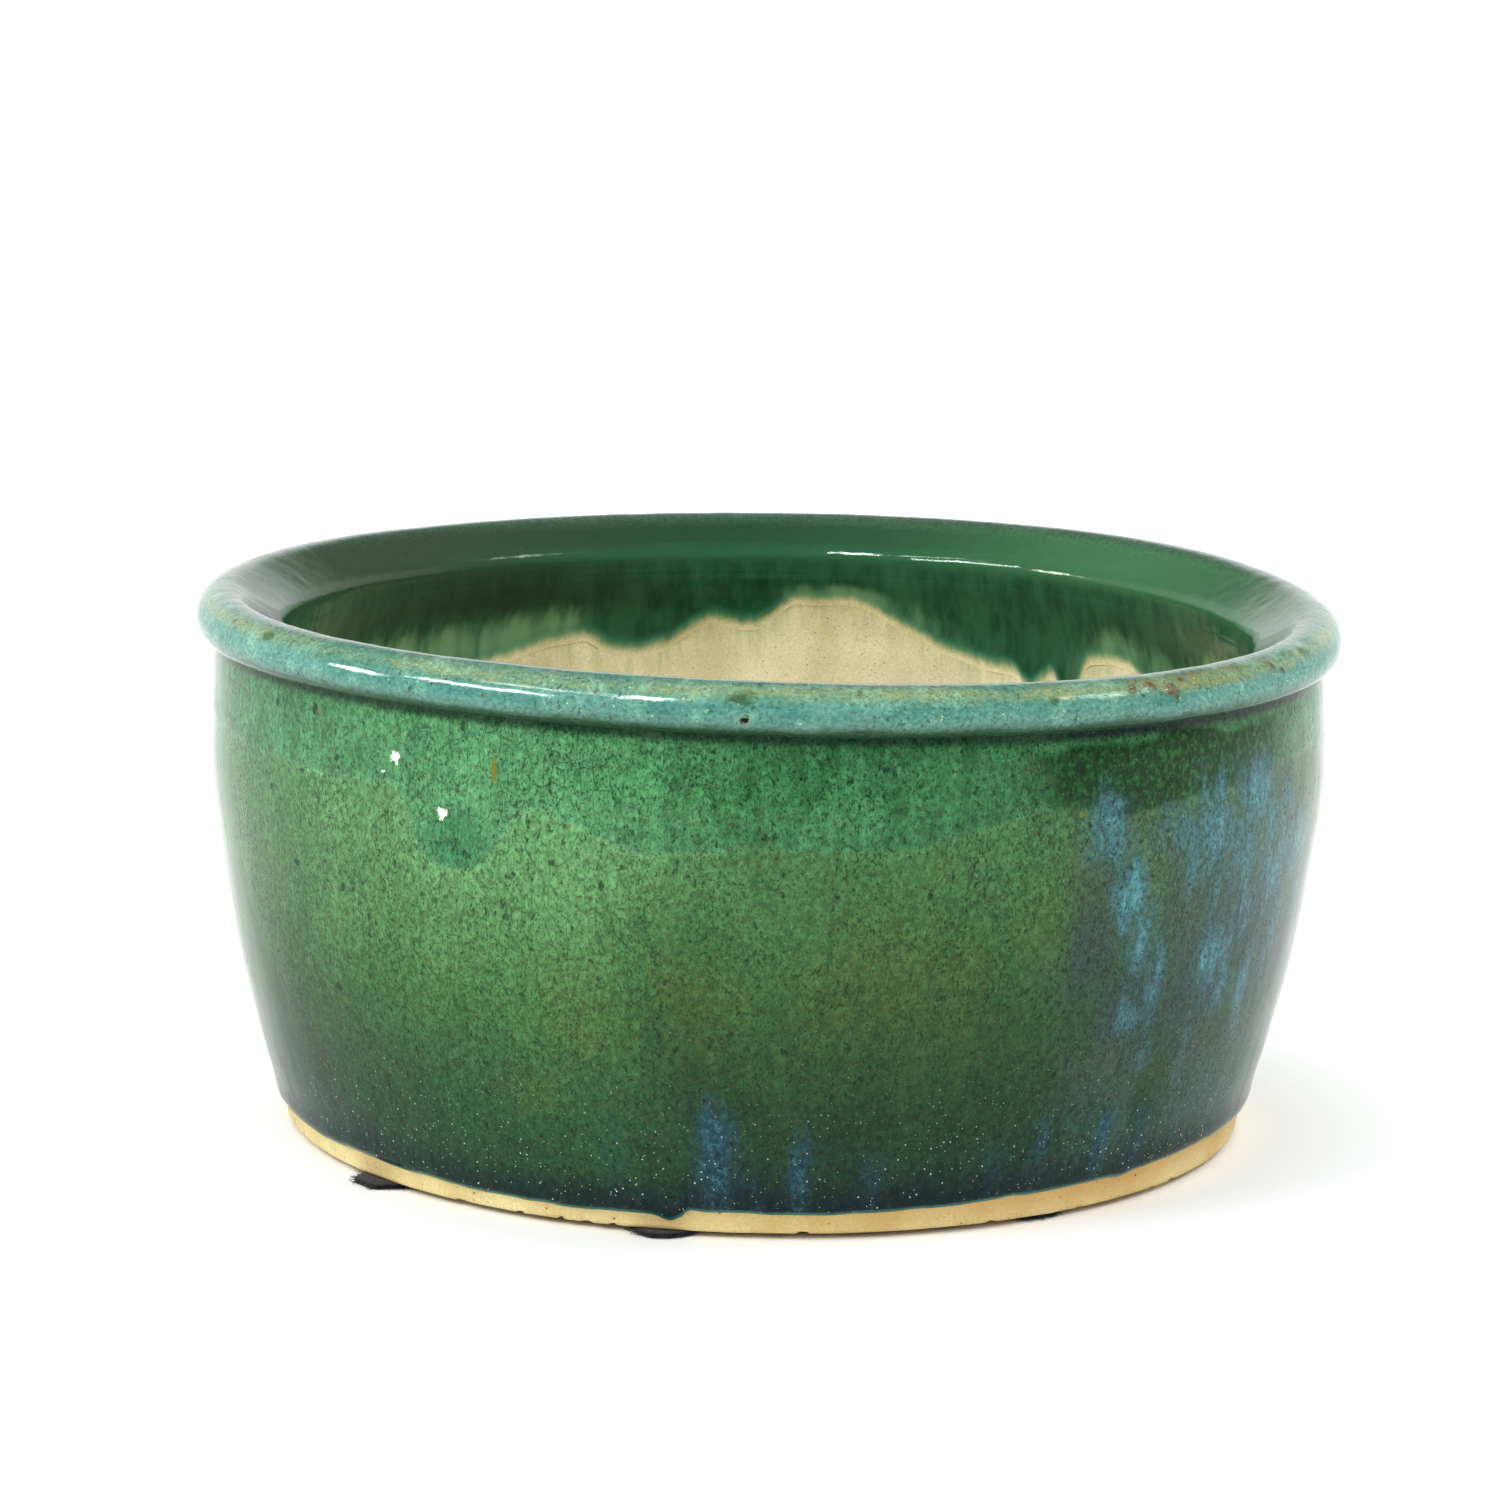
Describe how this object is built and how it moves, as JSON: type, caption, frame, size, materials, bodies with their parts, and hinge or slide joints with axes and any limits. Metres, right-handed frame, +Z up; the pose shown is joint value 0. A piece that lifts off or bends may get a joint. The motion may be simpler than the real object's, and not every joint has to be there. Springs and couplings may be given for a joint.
{
  "type": "bonsai pot",
  "caption": "Round hand-thrown stoneware bonsai pot with a thick rolled rim, runny green glaze, a bare clay foot band, a screened drain hole and felt pads underneath.",
  "frame": {"origin": "centre of the pot, on the surface that its felt pads stand on", "axes": "+Z up along the pot's turning axis; -Y is the side where the inner wall's drips and the long blue runs at the right are seen; +X to the right of that view"},
  "size_m": [0.18, 0.18, 0.0847],
  "materials": {
    "bare_clay": "matte",
    "outer_glaze": "gloss",
    "rim_glaze": "gloss",
    "inner_glaze": "gloss",
    "screen_plastic": "matte",
    "aluminium_wire": "satin",
    "black_felt": "matte"
  },
  "bodies": {
    "root": {"clay_body": "bare_clay", "outer_wall_glaze": "outer_glaze", "rim_glaze": "rim_glaze", "inner_wall_glaze": "inner_glaze", "drain_screen": "screen_plastic", "screen_clip": "aluminium_wire", "felt_pad_1": "black_felt", "felt_pad_2": "black_felt", "felt_pad_3": "black_felt", "felt_pad_4": "black_felt", "felt_pad_5": "black_felt", "felt_pad_6": "black_felt", "felt_pad_7": "black_felt", "felt_pad_8": "black_felt"}
  },
  "joints": []
}
